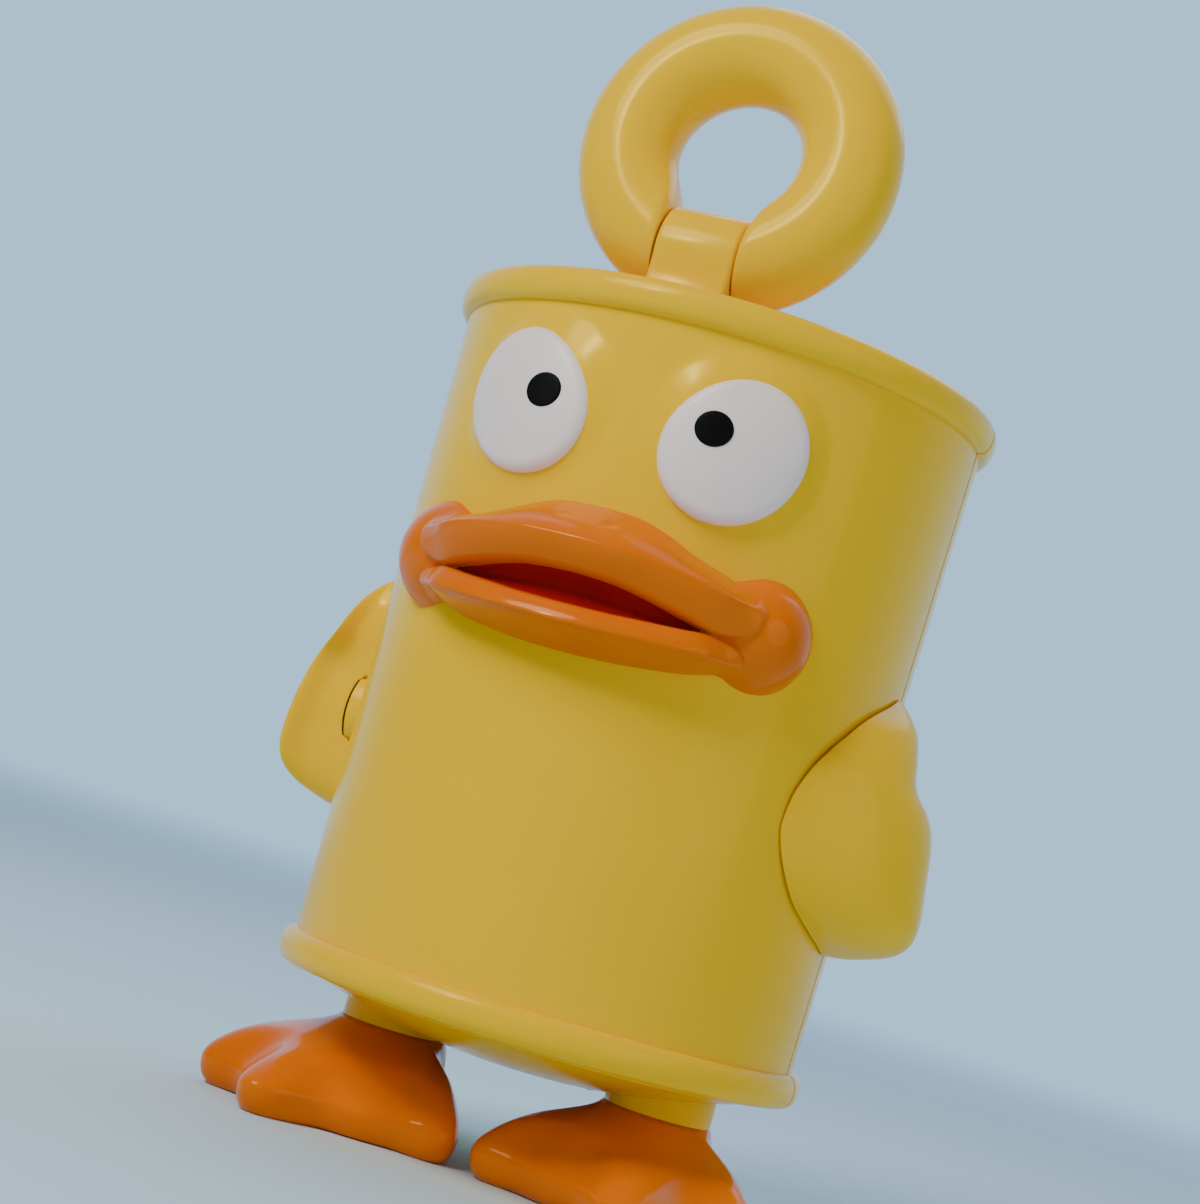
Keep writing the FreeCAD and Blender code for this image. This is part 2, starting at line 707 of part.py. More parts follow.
def foot(side):
    """Webbed foot with three toe lobes, socketed on the leg."""
    edge = []
    steps = 48
    for number in range(steps):
        angle = number * 360 / steps - 180
        turn = math.radians(angle)
        reach = foot_reach(angle)
        edge.append(Vector(side * reach * math.sin(turn), -reach * math.cos(turn), 0))
    curve = Part.BSplineCurve()
    curve.interpolate(edge, PeriodicFlag=True)
    sole = Part.Face(Part.Wire(curve.toShape()))
    block = sole.extrude(Vector(0, 0, foot_height))
    far = max(toe_reaches) + 1
    top = Part.BSplineCurve()
    top.interpolate([Vector(leg_radius, 0, foot_height), Vector(leg_radius + 4.5, 0, foot_height * 0.74),
                     Vector(far * 0.6, 0, foot_height * 0.56), Vector(far, 0, toe_tip_height)])
    dome = revolved([line((0, 0), (far, 0)), line((far, 0), (far, toe_tip_height)), top.toShape(),
                     line((leg_radius, foot_height), (0, foot_height)), line((0, foot_height), (0, 0))])
    cuts = [cylinder(leg_spigot_radius + foot_fit, Vector(0, 0, foot_height - leg_spigot_length - 0.1),
                     Vector(0, 0, foot_height + 5)),
            cylinder(screw_radius + 0.2, Vector(0, 0, -1), Vector(0, 0, foot_height)),
            cylinder(screw_head_radius + 0.3, Vector(0, 0, -1), Vector(0, 0, 6.0))]
    shape = block.common(dome).cut(cuts)
    shape.translate(Vector(side * leg_offset, 0, 0))
    return shape


def foot_screws():
    return Part.makeCompound([screw(Vector(side * leg_offset, 0, 6.0), Vector(0, 0, 1), 13.0)
                              for side in (-1, 1)])


shell = raw_shell()
parts = {
    "front_shell": front_shell(shell),
    "back_shell": back_shell(shell),
    "tablet_chamber": tablet_chamber(),
    "ballast_ring": ballast_ring(),
    "shell_screws": shell_screws(),
    "eye_left": eye(1),
    "eye_right": eye(-1),
    "pupil_left": pupil(1),
    "pupil_right": pupil(-1),
    "bill": bill(),
    "mouth_liner": mouth_liner(),
    "push_nuts": push_nuts(),
    "ring_bracket": ring_bracket(),
    "bracket_screws": bracket_screws(),
    "carry_ring": carry_ring(),
    "ring_pin": ring_pin(),
    "wing_left": wing(),
    "wing_axle_left": wing_axle(),
    "wing_clip_left": wing_clip(),
    "wing_seal_left": wing_seal(),
    "base_cap": base_cap(),
    "cap_seal": cap_seal(),
    "flow_dial": flow_dial(),
    "dial_pivot": dial_pivot(),
    "tablet_basket": tablet_basket(),
    "foot_left": foot(1),
    "foot_right": foot(-1),
    "foot_screws": foot_screws(),
}
for name in ("wing", "wing_axle", "wing_clip", "wing_seal"):
    parts[name + "_right"] = mirrored(parts[name + "_left"])

os.makedirs("parts", exist_ok=True)
for name, shape in parts.items():
    shape.exportStep("parts/" + name + ".step")
    print(name, len(shape.Solids), shape.isValid(), round(shape.Volume / 1000, 2), "cm3")
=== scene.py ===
import json
import math

import bmesh
import bpy
from mathutils import Matrix, Vector


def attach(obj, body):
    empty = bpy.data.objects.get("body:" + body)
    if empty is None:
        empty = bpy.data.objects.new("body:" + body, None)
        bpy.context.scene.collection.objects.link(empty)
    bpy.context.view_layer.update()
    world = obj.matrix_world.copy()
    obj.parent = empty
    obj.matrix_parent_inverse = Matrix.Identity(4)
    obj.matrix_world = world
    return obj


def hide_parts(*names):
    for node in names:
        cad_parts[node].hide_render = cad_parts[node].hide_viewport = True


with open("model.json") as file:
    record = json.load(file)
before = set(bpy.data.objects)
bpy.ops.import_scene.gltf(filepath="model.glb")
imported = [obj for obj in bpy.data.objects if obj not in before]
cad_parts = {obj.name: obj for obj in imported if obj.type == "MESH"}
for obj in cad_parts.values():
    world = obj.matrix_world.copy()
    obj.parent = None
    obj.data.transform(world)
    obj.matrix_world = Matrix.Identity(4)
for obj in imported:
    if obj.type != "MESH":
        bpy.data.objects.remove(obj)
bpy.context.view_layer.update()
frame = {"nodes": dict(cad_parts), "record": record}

mm = 0.001
cornerSteps = 5


def place(x, y, z):
    return Vector((x * mm, y * mm, z * mm))


def aroundCan(angle, radius, z):
    # angle in degrees from straight ahead, positive to the duck's left
    turn = math.radians(angle)
    return place(radius * math.sin(turn), -radius * math.cos(turn), z)


def mix(a, b, share):
    return a + (b - a) * share


def softMin(values, soft):
    low = min(values)
    return low - soft * math.log(sum(math.exp(-(v - low) / soft) for v in values))


def softMax(values, soft):
    return -softMin([-v for v in values], soft)


def smoothStep(low, high, value):
    share = max(0.0, min(1.0, (value - low) / (high - low)))
    return share * share * (3 - 2 * share)


def curveThrough(points, value):
    # smooth curve through (place, value) pairs
    if value <= points[0][0]:
        return points[0][1]
    if value >= points[-1][0]:
        return points[-1][1]
    for i in range(len(points) - 1):
        if value <= points[i + 1][0]:
            break
    x0, y0 = points[i]
    x1, y1 = points[i + 1]
    before = points[i - 1] if i > 0 else (2 * x0 - x1, y0)
    after = points[i + 2] if i + 2 < len(points) else (2 * x1 - x0, y1)
    m0 = (y1 - before[1]) / (x1 - before[0])
    m1 = (after[1] - y0) / (after[0] - x0)
    t = (value - x0) / (x1 - x0)
    w = x1 - x0
    return ((2 * t**3 - 3 * t**2 + 1) * y0 + (t**3 - 2 * t**2 + t) * w * m0
            + (3 * t**2 - 2 * t**3) * y1 + (t**3 - t**2) * w * m1)


def finishMesh(bm, name, material, sharp=None):
    # turns a bmesh into an object; sharp is the angle in degrees past which an edge isn't smoothed
    bmesh.ops.remove_doubles(bm, verts=bm.verts, dist=1e-6)
    bmesh.ops.recalc_face_normals(bm, faces=bm.faces)
    mesh = bpy.data.meshes.new(name)
    for face in bm.faces:
        face.smooth = True
    bm.to_mesh(mesh)
    bm.free()
    mesh.materials.append(material)
    if sharp is not None:
        mesh.set_sharp_from_angle(angle=math.radians(sharp))
    piece = bpy.data.objects.new(name, mesh)
    bpy.context.scene.collection.objects.link(piece)
    return piece


def gridSurface(bm, across, along, shape):
    # a grid of across x along cells, laid on a surface: shape(u, v) with u and v from 0 to 1
    made = bmesh.ops.create_grid(bm, x_segments=across, y_segments=along, size=0.5)
    for vert in made["verts"]:
        vert.co = shape(vert.co.x + 0.5, vert.co.y + 0.5)


def spinProfile(bm, points, steps, start=0.0, turn=360.0):
    # spins a line of (radius, height) points in millimetres about the upright axis
    verts = [bm.verts.new(place(r, 0, z)) for r, z in points]
    edges = [bm.edges.new(pair) for pair in zip(verts, verts[1:])]
    bmesh.ops.rotate(bm, verts=verts, cent=(0, 0, 0), matrix=Matrix.Rotation(math.radians(start), 3, "Z"))
    bmesh.ops.spin(bm, geom=verts + edges, cent=(0, 0, 0), axis=(0, 0, 1), angle=math.radians(turn),
                   steps=steps, use_merge=turn >= 360, use_duplicate=False)


def roundCorner(corner, fromPoint, toPoint, radius):
    # points of a small round between two straight runs
    middle = Vector(corner)
    before = Vector(fromPoint) - middle
    after = Vector(toPoint) - middle
    reach = min(radius, 0.45 * before.length, 0.45 * after.length)
    first = middle + before.normalized() * reach
    last = middle + after.normalized() * reach
    shares = [i / cornerSteps for i in range(cornerSteps + 1)]
    return [tuple((1 - t)**2 * first + 2 * t * (1 - t) * middle + t * t * last) for t in shares]


def roundedLine(points, radius):
    # a line whose inner corners are rounded
    out = [tuple(points[0])]
    for before, corner, after in zip(points, points[1:], points[2:]):
        out += roundCorner(corner, before, after, radius)
    return out + [tuple(points[-1])]


def divided(points, length):
    # adds points so that no run is longer than length
    out = [points[0]]
    for a, b in zip(points, points[1:]):
        count = max(1, math.ceil((Vector(b) - Vector(a)).length / length))
        out += [tuple(Vector(a).lerp(Vector(b), i / count)) for i in range(1, count + 1)]
    return out


def newMaterial(name):
    material = bpy.data.materials.new(name)
    material.use_nodes = True
    nodes = material.node_tree.nodes
    return material, nodes, material.node_tree.links, nodes["Principled BSDF"]


def addNoise(nodes, links, vector, scale, detail):
    noise = nodes.new("ShaderNodeTexNoise")
    noise.inputs["Scale"].default_value = scale
    noise.inputs["Detail"].default_value = detail
    links.new(vector, noise.inputs["Vector"])
    return noise.outputs["Fac"]


def addRoughness(nodes, links, shader, pattern, middle, drift):
    rough = nodes.new("ShaderNodeMapRange")
    rough.inputs["To Min"].default_value = middle - drift
    rough.inputs["To Max"].default_value = middle + drift
    links.new(pattern, rough.inputs["Value"])
    links.new(rough.outputs["Result"], shader.inputs["Roughness"])


def addBump(nodes, links, shader, pattern, strength, distance):
    bump = nodes.new("ShaderNodeBump")
    bump.inputs["Strength"].default_value = strength
    bump.inputs["Distance"].default_value = distance
    links.new(pattern, bump.inputs["Height"])
    links.new(bump.outputs["Normal"], shader.inputs["Normal"])


def mouldedPlastic(name, look):
    # moulded plastic: slight colour drift, fine orange peel and faint handling haze in the gloss
    material, nodes, links, shader = newMaterial(name)
    spot = nodes.new("ShaderNodeTexCoord").outputs["Object"]
    ramp = nodes.new("ShaderNodeValToRGB")
    ramp.color_ramp.elements[0].position = 0.3
    ramp.color_ramp.elements[1].position = 0.7
    ramp.color_ramp.elements[0].color = (*look["dark"], 1)
    ramp.color_ramp.elements[1].color = (*look["light"], 1)
    links.new(addNoise(nodes, links, spot, look["driftScale"], 3), ramp.inputs["Fac"])
    links.new(ramp.outputs["Color"], shader.inputs["Base Color"])
    haze = addNoise(nodes, links, spot, look["hazeScale"], 5)
    addRoughness(nodes, links, shader, haze, look["roughness"], look["roughDrift"])
    peel = addNoise(nodes, links, spot, look["peelScale"], 2)
    addBump(nodes, links, shader, peel, look["peelStrength"], look["peelDepth"])
    shader.inputs["IOR"].default_value = 1.48
    shader.inputs["Specular IOR Level"].default_value = look.get("specular", 0.5)
    shader.inputs["Specular Tint"].default_value = (*look.get("specularTint", (1, 1, 1)), 1)
    shader.inputs["Coat Weight"].default_value = look.get("coat", 0.0)
    shader.inputs["Coat Roughness"].default_value = look.get("coatRoughness", 0.08)
    shader.inputs["Subsurface Weight"].default_value = look.get("glow", 0.0)
    shader.inputs["Subsurface Radius"].default_value = look.get("glowRadius", (1.0, 0.5, 0.1))
    shader.inputs["Subsurface Scale"].default_value = 0.003
    return material


def brushedMetal(name, look):
    # turned or brushed metal, with fine lines along one axis
    material, nodes, links, shader = newMaterial(name)
    spot = nodes.new("ShaderNodeTexCoord").outputs["Object"]
    stretch = nodes.new("ShaderNodeMapping")
    stretch.inputs["Scale"].default_value = look["lines"]
    links.new(spot, stretch.inputs["Vector"])
    lines = addNoise(nodes, links, stretch.outputs["Vector"], look["lineScale"], 4)
    tint = nodes.new("ShaderNodeMix")
    tint.data_type = "RGBA"
    tint.inputs["A"].default_value = (*look["dark"], 1)
    tint.inputs["B"].default_value = (*look["light"], 1)
    links.new(lines, tint.inputs["Factor"])
    links.new(tint.outputs["Result"], shader.inputs["Base Color"])
    addRoughness(nodes, links, shader, lines, look["roughness"], look["roughDrift"])
    addBump(nodes, links, shader, lines, look["lineStrength"], look["lineDepth"])
    shader.inputs["Metallic"].default_value = 1.0
    return material


plasticLooks = {
    "yellow_shell": {
        "dark": (0.95, 0.55, 0.0), "light": (1.0, 0.60, 0.0), "driftScale": 14, "hazeScale": 40,
        "roughness": 0.18, "roughDrift": 0.04, "peelScale": 700, "peelStrength": 0.08, "peelDepth": 0.0002,
        "specular": 0.28, "specularTint": (1.0, 0.72, 0.18)},
    "orange_vinyl": {
        "dark": (0.74, 0.145, 0.0), "light": (0.88, 0.195, 0.0), "driftScale": 25, "hazeScale": 60,
        "roughness": 0.15, "roughDrift": 0.03, "peelScale": 500, "peelStrength": 0.10, "peelDepth": 0.0002,
        "coat": 0.10, "coatRoughness": 0.04, "specular": 0.25, "specularTint": (1.0, 0.60, 0.25)},
    "eye_white": {
        "dark": (0.93, 0.79, 0.73), "light": (0.99, 0.86, 0.80), "driftScale": 30, "hazeScale": 90,
        "roughness": 0.42, "roughDrift": 0.06, "peelScale": 900, "peelStrength": 0.08, "peelDepth": 0.0001,
        "coat": 0.05},
    "pupil_black": {
        "dark": (0.001, 0.001, 0.001), "light": (0.003, 0.003, 0.004), "driftScale": 200, "hazeScale": 300,
        "roughness": 0.55, "roughDrift": 0.08, "peelScale": 1500, "peelStrength": 0.15, "peelDepth": 0.0001,
        "specular": 0.12},
    # painted shade: this dark red on the mouth lining stands in for the shadow deep in the mouth's recess
    "mouth_red": {
        "dark": (0.30, 0.003, 0.001), "light": (0.42, 0.006, 0.002), "driftScale": 60, "hazeScale": 90,
        "roughness": 0.35, "roughDrift": 0.06, "peelScale": 600, "peelStrength": 0.12, "peelDepth": 0.0002,
        "specular": 0.15, "specularTint": (1.0, 0.45, 0.30)},
    "natural_plastic": {
        "dark": (0.66, 0.68, 0.66), "light": (0.76, 0.78, 0.75), "driftScale": 20, "hazeScale": 60,
        "roughness": 0.45, "roughDrift": 0.06, "peelScale": 600, "peelStrength": 0.15, "peelDepth": 0.0002,
        "glow": 0.2, "glowRadius": (1.0, 1.0, 1.0)},
    "dial_grey": {
        "dark": (0.085, 0.095, 0.11), "light": (0.12, 0.13, 0.15), "driftScale": 40, "hazeScale": 90,
        "roughness": 0.5, "roughDrift": 0.08, "peelScale": 900, "peelStrength": 0.3, "peelDepth": 0.0002},
    "seal_rubber": {
        "dark": (0.012, 0.012, 0.012), "light": (0.022, 0.022, 0.022), "driftScale": 120, "hazeScale": 200,
        "roughness": 0.65, "roughDrift": 0.1, "peelScale": 1200, "peelStrength": 0.3, "peelDepth": 0.0001},
}
metalLooks = {
    "stainless": {
        "dark": (0.50, 0.50, 0.51), "light": (0.68, 0.68, 0.69), "lines": (1, 1, 14), "lineScale": 900,
        "roughness": 0.3, "roughDrift": 0.08, "lineStrength": 0.2, "lineDepth": 0.00004},
    "ballast_iron": {
        "dark": (0.12, 0.12, 0.12), "light": (0.22, 0.22, 0.22), "lines": (1, 1, 1), "lineScale": 300,
        "roughness": 0.6, "roughDrift": 0.08, "lineStrength": 0.2, "lineDepth": 0.00004},
}
materials = {name: mouldedPlastic(name, look) for name, look in plasticLooks.items()}
materials.update({name: brushedMetal(name, look) for name, look in metalLooks.items()})
slotOf = {part["node"]: part["material_slot"] for part in frame["record"]["subparts"]}
for node, piece in frame["nodes"].items():
    piece.data.materials.clear()
    piece.data.materials.append(materials[slotOf[node]])
print("materials made:", len(materials))


def finishPiece(piece, body, nodes):
    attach(piece, body)
    if nodes:
        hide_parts(*nodes)
    return piece


can = {
    "radiusLow": 53.5, "radiusHigh": 56.5, "floor": 29.0, "creaseLow": 36.0, "creaseHigh": 169.0,
    "top": 176.0, "lidTop": 173.5, "wall": 2.2, "neck": 46.6,
    "rimProud": 2.48, "rimSquare": 0.85, "rimLand": 3.5, "rimRound": 0.7, "rimSteps": 14,
    "seamGap": 0.9, "seamRound": 0.3, "frontSteps": 216, "backSteps": 120, "cell": 1.0, "innerCell": 12.0,
}


def wallRadius(z):
    share = (z - can["creaseLow"]) / (can["creaseHigh"] - can["creaseLow"])
    return mix(can["radiusLow"], can["radiusHigh"], share)


def rimArc(radius, low, high):
    # half-round rim from its lower to its upper end, a little squared
    middle = (low + high) / 2
    half = (high - low) / 2
    out = []
    for i in range(can["rimSteps"] + 1):
        turn = math.pi * (i / can["rimSteps"] - 0.5)
        reach = math.copysign(abs(math.cos(turn)) ** can["rimSquare"], math.cos(turn))
        out.append((radius + can["rimProud"] * reach, middle + half * math.sin(turn)))
    return out


def shellProfile():
    low, high = can["radiusLow"], can["radiusHigh"]
    outer = [(can["neck"], can["floor"])]
    outer += [(low - 1.2, can["floor"])] + rimArc(low, can["floor"], can["creaseLow"])
    outer += rimArc(high, can["creaseHigh"], can["top"])
    land = [(high - 0.9, can["top"]), (high - can["rimLand"], can["top"])]
    land += [(high - can["rimLand"] - 0.5, can["lidTop"]), (0, can["lidTop"])]
    outer += roundedLine(land, can["rimRound"])
    wall = can["wall"]
    inner = [(0, can["lidTop"] - wall), (high - wall, can["lidTop"] - wall)]
    inner += [(low - wall, can["floor"] + wall), (can["neck"], can["floor"] + wall)]
    inner.append((can["neck"], can["floor"]))
    return outer, inner


eyes = {
    "angle": 22.3, "height": 147.6, "radius": 14.3, "cells": (72, 22),
    "mound": 18.4, "moundProud": 3.4, "moundRise": 1.5, "moundSoft": 0.22,
    "domeShare": 0.8, "domeCurve": 2.2, "edgeDrop": 0.9, "edgeFrom": 0.9,
}


def moundProud(angle, z):
    # how far the shell swells out round each eye
    swell = [0.0]
    for side in (-1, 1):
        across = math.radians(angle - side * eyes["angle"]) * wallRadius(z)
        up = z - eyes["height"] - eyes["moundRise"]
        far = math.hypot(across, up) / eyes["mound"]
        if far < 1.3:
            swell.append(eyes["moundProud"] * (1 - far * far))
    return softMax(swell, eyes["moundSoft"]) if len(swell) > 1 else 0.0


def makeShell(name, node, front):
    bm = bmesh.new()
    outer, inner = shellProfile()
    outer = divided(outer, can["cell"])
    inner = divided(inner, can["innerCell"])
    gap = math.degrees(can["seamGap"] / 2 / can["radiusHigh"])
    start = (180 if front else 0) + gap
    spinProfile(bm, outer + inner[1:], can["frontSteps" if front else "backSteps"], start, 180 - 2 * gap)
    bmesh.ops.remove_doubles(bm, verts=bm.verts, dist=1e-7)
    if front:
        for vert in bm.verts:
            z = vert.co.z / mm
            radius = math.hypot(vert.co.x, vert.co.y) / mm
            if can["creaseLow"] < z < can["creaseHigh"] and radius > wallRadius(z) - 0.3:
                angle = math.degrees(math.atan2(vert.co.x, -vert.co.y))
                proud = moundProud(angle, z)
                if proud > 0.01:
                    vert.co = aroundCan(angle, radius + proud, z)
    bmesh.ops.holes_fill(bm, edges=[edge for edge in bm.edges if edge.is_boundary], sides=0)
    seam = [edge for edge in bm.edges if edge.is_manifold and any(len(f.verts) > 8 for f in edge.link_faces)]
    bmesh.ops.bevel(bm, geom=seam, offset=can["seamRound"] * mm, segments=2, profile=0.5, affect="EDGES",
                    material=-1, clamp_overlap=True)
    piece = finishMesh(bm, name, materials["yellow_shell"], sharp=35)
    return finishPiece(piece, "can", [node])


frontShell = makeShell("frontShell", "front_shell", True)
backShell = makeShell("backShell", "back_shell", False)
print("shells made:", len(frontShell.data.polygons), len(backShell.data.polygons), "faces")


# each eye is a little egg-shaped: waves of its edge as (size in mm, direction in degrees)
eyeShapes = {
    "eyeLeft": {"side": 1, "node": "eye_left", "radius": 14.2, "waves": ((0.40, -129), (0.80, 53)),
                "proudMiddle": 4.4, "proudEdge": 2.5},
    "eyeRight": {"side": -1, "node": "eye_right", "radius": 14.6, "waves": ((0.75, 145), (1.00, -43)),
                 "proudMiddle": 4.4, "proudEdge": 2.5},
}


def eyeReach(shape, turn):
    reach = shape["radius"]
    for number, (size, towards) in enumerate(shape["waves"], 1):
        reach += size * math.cos(number * (turn - math.radians(towards)))
    return reach


def eyePoint(side, across, up, proud):
    # place on the wall by an eye: across and up in millimetres from its middle
    z = eyes["height"] + up
    radius = wallRadius(z)
    return aroundCan(side * eyes["angle"] + math.degrees(across / radius), radius + proud, z)


def eyeProud(shape, far):
    # how far the eye's face stands out at a share of its radius
    return mix(shape["proudMiddle"], shape["proudEdge"], far ** eyes["domeCurve"])


def makeEye(name, shape):
    bm = bmesh.new()

    def surface(u, v):
        turn = u * 2 * math.pi
        reach = eyeReach(shape, turn)
        if v < eyes["domeShare"]:      # domed face
            far = v / eyes["domeShare"]
            proud = eyeProud(shape, far) - eyes["edgeDrop"] * smoothStep(eyes["edgeFrom"], 1.0, far) ** 2
        else:                          # side down into the wall
            down = v - eyes["domeShare"]
            far = 1.0 + 0.01 * down
            proud = mix(shape["proudEdge"] - eyes["edgeDrop"], 0.1, down / (1 - eyes["domeShare"]))
        return eyePoint(shape["side"], reach * far * math.cos(turn), reach * far * math.sin(turn), proud)

    gridSurface(bm, *eyes["cells"], surface)
    bmesh.ops.remove_doubles(bm, verts=bm.verts, dist=2e-6)
    bmesh.ops.holes_fill(bm, edges=[edge for edge in bm.edges if edge.is_boundary], sides=0)
    piece = finishMesh(bm, name, materials["eye_white"], sharp=50)
    return finishPiece(piece, "can", [shape["node"]])


pupil = {
    "angle": 17.0, "height": 149.8, "radius": 3.5, "cells": (40, 12),
    "lift": 0.28, "liftTo": 0.75, "faceTo": 0.85, "sink": 0.12,
}


def makePupil(name, side, node):
    # a thin disc that follows the eye's face, with a soft edge sunk a little into it
    bm = bmesh.new()
    shape = eyeShapes["eyeLeft" if side > 0 else "eyeRight"]
    across = math.radians(side * (pupil["angle"] - eyes["angle"])) * wallRadius(pupil["height"])
    up = pupil["height"] - eyes["height"]

    def surface(u, v):
        turn = u * 2 * math.pi
        reach = pupil["radius"] * min(1.0, v / pupil["faceTo"])
        x = across + reach * math.cos(turn)
        y = up + reach * math.sin(turn)
        proud = eyeProud(shape, min(1, math.hypot(x, y) / eyes["radius"]))
        lift = pupil["lift"] * (1 - smoothStep(pupil["liftTo"], 1.0, v))
        lift -= pupil["sink"] * smoothStep(pupil["faceTo"], 1.0, v)
        return eyePoint(side, x, y, proud + lift)

    gridSurface(bm, *pupil["cells"], surface)
    bmesh.ops.remove_doubles(bm, verts=bm.verts, dist=2e-6)
    bmesh.ops.holes_fill(bm, edges=[edge for edge in bm.edges if edge.is_boundary], sides=0)
    piece = finishMesh(bm, name, materials["pupil_black"])
    return finishPiece(piece, "can", [node])


for name, shape in eyeShapes.items():
    makeEye(name, shape)
makePupil("pupilLeft", 1, "pupil_left")
makePupil("pupilRight", -1, "pupil_right")
print("eyes made")


bill = {
    "halfWidth": 50.0, "low": 98.0, "high": 134.0, "cells": (260, 96), "sink": -1.4, "bendRadius": 55.0,
    # lines across the bill: distance from its middle, height
    "topLine": [(0, 130.6), (8, 130.2), (14, 128.6), (20, 126.2), (27, 124.6), (34, 124.2)],
    "ridgeLine": [(0, 122.3), (10, 121.9), (20, 120.8), (28, 119.6), (34, 119.0)],
    "mouthTop": [(0, 116.6), (8, 116.2), (14, 115.2), (20, 113.9), (26, 112.6), (34, 112.2)],
    "mouthLow": [(0, 110.0), (8, 110.2), (14, 110.7), (20, 111.3), (26, 112.1), (34, 112.2)],
    "chinLine": [(0, 106.2), (10, 106.5), (20, 107.2), (28, 107.9), (34, 108.2)],
    "bottomLine": [(0, 101.8), (10, 102.2), (20, 103.4), (28, 104.8), (34, 105.6)],
    "upperProud": [(0, 12.35), (10, 12.15), (20, 11.2), (28, 9.8), (32, 8.8)],
    "lowerProud": [(0, 11.6), (10, 11.2), (20, 10.0), (27, 8.8), (32, 8.0)],
    "upperFace": 0.25, "lowerFace": 0.19, "faceCurve": 1.7, "backCurve": 1.3, "edgeSlope": 9.0,
    "edgeSoft": 0.8, "edgeSwell": 0.3, "tipFall": 0.75, "hidden": -6.0,
    "nostril": 0.5, "nostrilAcross": 4.2, "nostrilHeight": 126.6, "nostrilSize": (1.3, 0.8),
    "blend": (0.4, 2.8), "blendFrom": 22, "blendTo": 31,
    "upperTip": 25.0, "lowerTip": 24.0, "tipLength": 9.0,
    "cheekAcross": 36.6, "cheekHeight": 115.4, "cheekRadius": 11.3, "cheekProud": 8.2,
    "mouthAcross": 27.0, "mouthFloor": 3.4, "mouthCurve": 2.2, "mouthUnder": 0.7, "mouthLap": 0.5,
    "mouthCells": (120, 26), "cornerSink": 2.2, "cornerFrom": 18, "skirt": 2.5,
}


def lipSection(s, z, edge, ridge, far, proud, face, tip, tipLength):
    # cross-section of a lip: rounded from its mouth edge to a ridge, and from there back to the wall
    beyond = max(0.0, (s - tip) / tipLength)
    if beyond > 0.995:
        return bill["hidden"]
    narrow = math.sqrt(1 - beyond * beyond)    # the lip's end is round
    way = 1 if far > edge else -1
    up = (z - ridge) * way
    if up < 0:
        share = -up / (abs(ridge - edge) * narrow)
        line = proud * (1 - face * share ** bill["faceCurve"])
        wall = proud * (1 - face) - bill["edgeSlope"] * (share - 1) * abs(ridge - edge)
        height = softMin([line, wall], bill["edgeSoft"]) + bill["edgeSwell"]
    else:
        height = proud * (1 - (up / (abs(far - ridge) * narrow)) ** bill["backCurve"])
    return max(bill["hidden"], height * narrow ** bill["tipFall"])


def lipAcross(lines, s):
    # a lip's lines at a distance from the bill's middle
    return [curveThrough(bill[line], s) for line in lines]


def billProud(across, z):
    s = abs(across)
    upper = lipSection(s, z, *lipAcross(("mouthTop", "ridgeLine", "topLine", "upperProud"), s),
                       bill["upperFace"], bill["upperTip"], bill["tipLength"])
    lower = lipSection(s, z, *lipAcross(("mouthLow", "chinLine", "bottomLine", "lowerProud"), s),
                       bill["lowerFace"], bill["lowerTip"], bill["tipLength"])
    a, p = bill["cheekRadius"], bill["cheekProud"]
    ball = (a * a + p * p) / (2 * p)
    far = math.hypot(s - bill["cheekAcross"], z - bill["cheekHeight"])
    cheek = math.sqrt(max(0.0, ball * ball - far * far)) - (ball - p) if far < ball else -4.0
    wide, high = bill["nostrilSize"]
    for side in (-1, 1):
        beside = (across - side * bill["nostrilAcross"]) / wide
        above = (z - bill["nostrilHeight"]) / high
        upper -= bill["nostril"] * math.exp(-beside ** 2 - above ** 2)
    blend = mix(*bill["blend"], smoothStep(bill["blendFrom"], bill["blendTo"], s))
    return softMax([upper, lower, cheek], blend) - blend * 0.4


def turnBack(bm, depth):
    # closes a skin's open rim with a skirt that runs in towards the can's axis
    made = bmesh.ops.extrude_edge_only(bm, edges=[edge for edge in bm.edges if edge.is_boundary])
    for item in made["geom"]:
        if isinstance(item, bmesh.types.BMVert):
            item.co.xy *= 1 - depth * mm / item.co.xy.length


def isSunk(vert):
    return abs(vert.co.xy.length / mm - wallRadius(vert.co.z / mm) - bill["sink"]) < 1e-3


def makeBill():
    bm = bmesh.new()

    def front(u, v):
        across = mix(-bill["halfWidth"], bill["halfWidth"], u)
        z = mix(bill["low"], bill["high"], v)
        rim = min(u, 1 - u, v, 1 - v)
        proud = max(bill["sink"], billProud(across, z)) if rim > 1e-6 else bill["sink"]
        return aroundCan(math.degrees(across / bill["bendRadius"]), wallRadius(z) + proud, z)

    gridSurface(bm, *bill["cells"], front)
    flat = [face for face in bm.faces if all(isSunk(vert) for vert in face.verts)]
    bmesh.ops.delete(bm, geom=flat, context="FACES")
    turnBack(bm, 0.5)
    piece = finishMesh(bm, "billSkin", materials["orange_vinyl"])
    return finishPiece(piece, "can", ["bill"])


